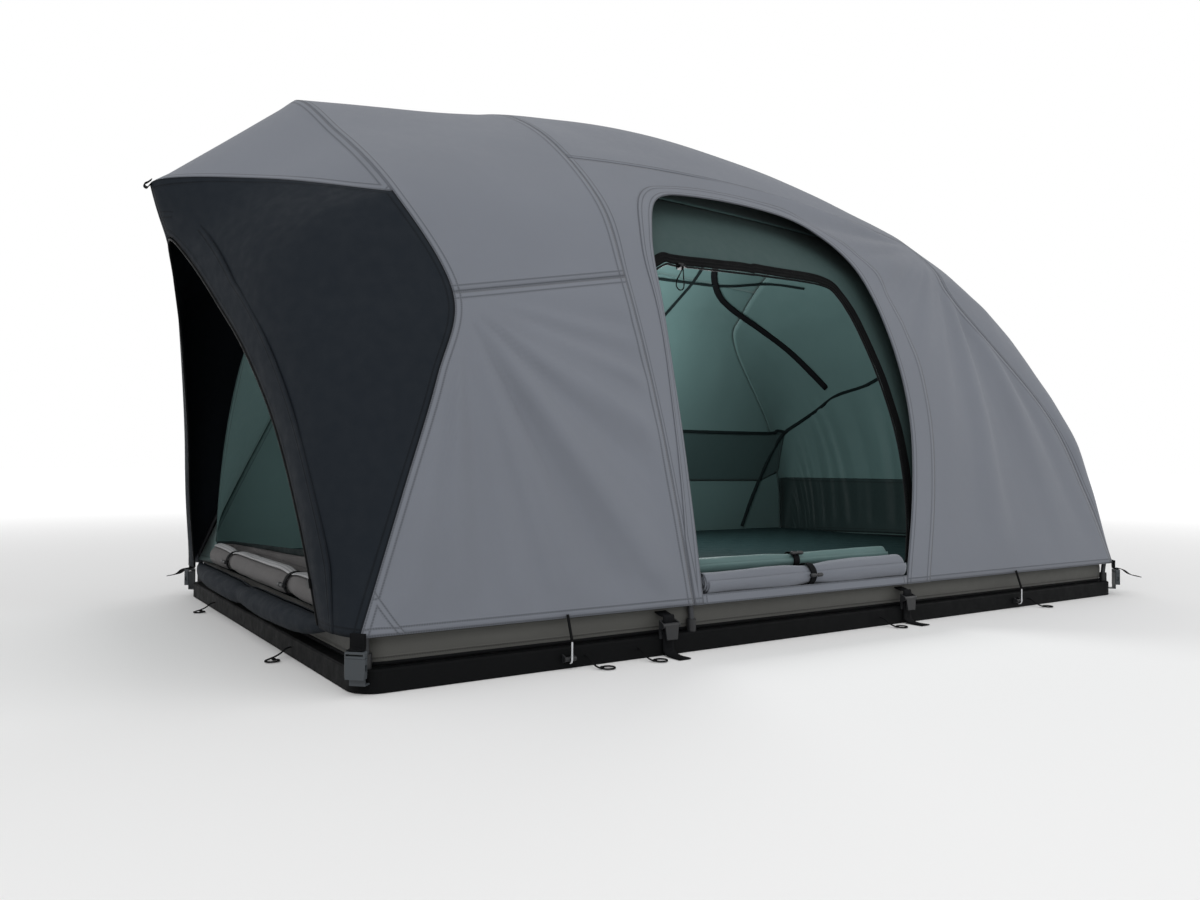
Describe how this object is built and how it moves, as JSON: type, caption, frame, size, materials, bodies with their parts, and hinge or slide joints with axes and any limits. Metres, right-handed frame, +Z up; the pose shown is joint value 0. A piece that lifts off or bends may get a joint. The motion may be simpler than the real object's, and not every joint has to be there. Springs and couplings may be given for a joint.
{
  "type": "roof top tent",
  "caption": "Pole-framed roof top tent: grey fly with a beaked black rear end over a teal inner tent, its side and rear doors rolled open, on a padded base with corner buckles",
  "frame": {"origin": "centre of the underside of the base panel, on the plane it rests on", "axes": "+X along the length towards the nose, the rear door and beak at -X; -Y the side with the open side door; +Z up"},
  "size_m": [2.3555, 1.3746, 1.1526],
  "materials": {
    "base_black": "satin black edge trim and board",
    "tub_grey": "coated charcoal cloth wall",
    "mattress": "soft knitted mattress cover",
    "fly_grey": "coated grey ripstop fly cloth",
    "fly_black": "coated black fly cloth",
    "inner_teal": "breathable teal inner tent cloth",
    "rear_roll_grey": "warm grey mesh-backed door cloth",
    "webbing": "woven black webbing",
    "cord": "braided black cord",
    "moulded_black": "moulded black nylon",
    "buckle_grey": "moulded blue-grey acetal",
    "zip_black": "black coil zip",
    "poles": "anodised tube",
    "hooks": "bright plated wire"
  },
  "bodies": {
    "tent": {"base_panel": "base_black", "tub_wall": "tub_grey", "mattress": "mattress", "rear_hoop_pole": "poles", "middle_hoop_pole": "poles", "nose_hoop_pole": "poles", "ridge_pole": "poles", "pole_sockets": "moulded_black", "pole_hubs": "moulded_black", "fly_rear_wall_near": "fly_grey", "fly_rear_wall_far": "fly_grey", "fly_roof_rear": "fly_grey", "fly_roof_front": "fly_grey", "fly_nose_panel": "fly_grey", "fly_brow": "fly_grey", "fly_rear_panel_near": "fly_black", "fly_rear_panel_far": "fly_black", "beak_tip_tab": "webbing", "fly_side_panel_near": "fly_grey", "fly_side_panel_far": "fly_grey", "fly_side_door_far": "fly_grey", "inner_side_near": "inner_teal", "inner_side_far": "inner_teal", "inner_roof": "inner_teal", "inner_rear_bay": "inner_teal", "inner_nose_wall": "inner_teal", "inner_rear_wall": "inner_teal", "side_fly_door_roll": "fly_grey", "side_inner_door_roll": "inner_teal", "rear_fly_door_roll": "fly_black", "rear_inner_door_roll": "rear_roll_grey", "roll_ties": "webbing", "side_zip": "zip_black", "rear_zip": "zip_black", "corner_buckle_sockets": "buckle_grey", "lash_straps": "webbing", "cam_frames": "moulded_black", "hem_cleats": "moulded_black", "hem_hooks": "hooks", "hem_elastics": "cord", "tie_cords": "cord"},
    "buckle_near_rear": {"plug_near_rear": "buckle_grey", "strap_near_rear": "webbing"},
    "buckle_near_nose": {"plug_near_nose": "buckle_grey", "strap_near_nose": "webbing"},
    "buckle_far_rear": {"plug_far_rear": "buckle_grey", "strap_far_rear": "webbing"},
    "buckle_far_nose": {"plug_far_nose": "buckle_grey", "strap_far_nose": "webbing"},
    "cam_near_rear": {"lever_near_rear": "moulded_black"},
    "cam_near_front": {"lever_near_front": "moulded_black"},
    "cam_far_rear": {"lever_far_rear": "moulded_black"},
    "cam_far_front": {"lever_far_front": "moulded_black"},
    "side_fly_toggle_bar": {"side_fly_toggle": "moulded_black"},
    "side_inner_toggle_bar": {"side_inner_toggle": "moulded_black"},
    "rear_toggle_near_bar": {"rear_toggle_near": "moulded_black"},
    "rear_toggle_far_bar": {"rear_toggle_far": "moulded_black"},
    "side_slider": {"side_zip_slider": "zip_black"},
    "side_pull": {"side_zip_pull": "zip_black"},
    "rear_slider": {"rear_zip_slider": "zip_black"}
  },
  "joints": [
    {"name": "unclip_near_rear", "type": "slide", "parent": "tent", "child": "buckle_near_rear", "axis": [0, 0, 1], "range_m": [0, 0.024]},
    {"name": "unclip_near_nose", "type": "slide", "parent": "tent", "child": "buckle_near_nose", "axis": [0, 0, 1], "range_m": [0, 0.024]},
    {"name": "unclip_far_rear", "type": "slide", "parent": "tent", "child": "buckle_far_rear", "axis": [0, 0, 1], "range_m": [0, 0.024]},
    {"name": "unclip_far_nose", "type": "slide", "parent": "tent", "child": "buckle_far_nose", "axis": [0, 0, 1], "range_m": [0, 0.024]},
    {"name": "open_cam_near_rear", "type": "hinge", "parent": "tent", "child": "cam_near_rear", "pos_m": [-0.48, -0.6452, 0.054], "axis": [-1, 0, 0], "range_deg": [0, 75]},
    {"name": "open_cam_near_front", "type": "hinge", "parent": "tent", "child": "cam_near_front", "pos_m": [0.178, -0.6452, 0.054], "axis": [-1, 0, 0], "range_deg": [0, 75]},
    {"name": "open_cam_far_rear", "type": "hinge", "parent": "tent", "child": "cam_far_rear", "pos_m": [-0.48, 0.6452, 0.054], "axis": [1, 0, 0], "range_deg": [0, 75]},
    {"name": "open_cam_far_front", "type": "hinge", "parent": "tent", "child": "cam_far_front", "pos_m": [0.178, 0.6452, 0.054], "axis": [1, 0, 0], "range_deg": [0, 75]},
    {"name": "turn_side_fly_toggle", "type": "hinge", "parent": "tent", "child": "side_fly_toggle_bar", "pos_m": [-0.1035, -0.6392, 0.12043], "axis": [0, -1, 0], "range_deg": [0, 90]},
    {"name": "turn_side_inner_toggle", "type": "hinge", "parent": "tent", "child": "side_inner_toggle_bar", "pos_m": [-0.1035, -0.58435, 0.1604], "axis": [0, -0.7071, 0.7071], "range_deg": [0, 90]},
    {"name": "turn_rear_toggle_near", "type": "hinge", "parent": "tent", "child": "rear_toggle_near_bar", "pos_m": [-1.0524, -0.2352, 0.11943], "axis": [-1, 0, 0], "range_deg": [0, 90]},
    {"name": "turn_rear_toggle_far", "type": "hinge", "parent": "tent", "child": "rear_toggle_far_bar", "pos_m": [-1.0524, 0.2352, 0.11943], "axis": [-1, 0, 0], "range_deg": [0, 90]},
    {"name": "side_zip_run", "type": "slide", "parent": "tent", "child": "side_slider", "axis": [0.9976, 0.0513, 0.0475], "range_m": [0, 0.19]},
    {"name": "side_pull_swing", "type": "hinge", "parent": "side_slider", "child": "side_pull", "pos_m": [-0.29166, -0.44042, 0.75729], "axis": [-1, 0, 0], "range_deg": [0, 100]},
    {"name": "rear_zip_run", "type": "slide", "parent": "tent", "child": "rear_slider", "axis": [-0.1186, 0.2205, 0.9682], "range_m": [0, 0.041]}
  ]
}
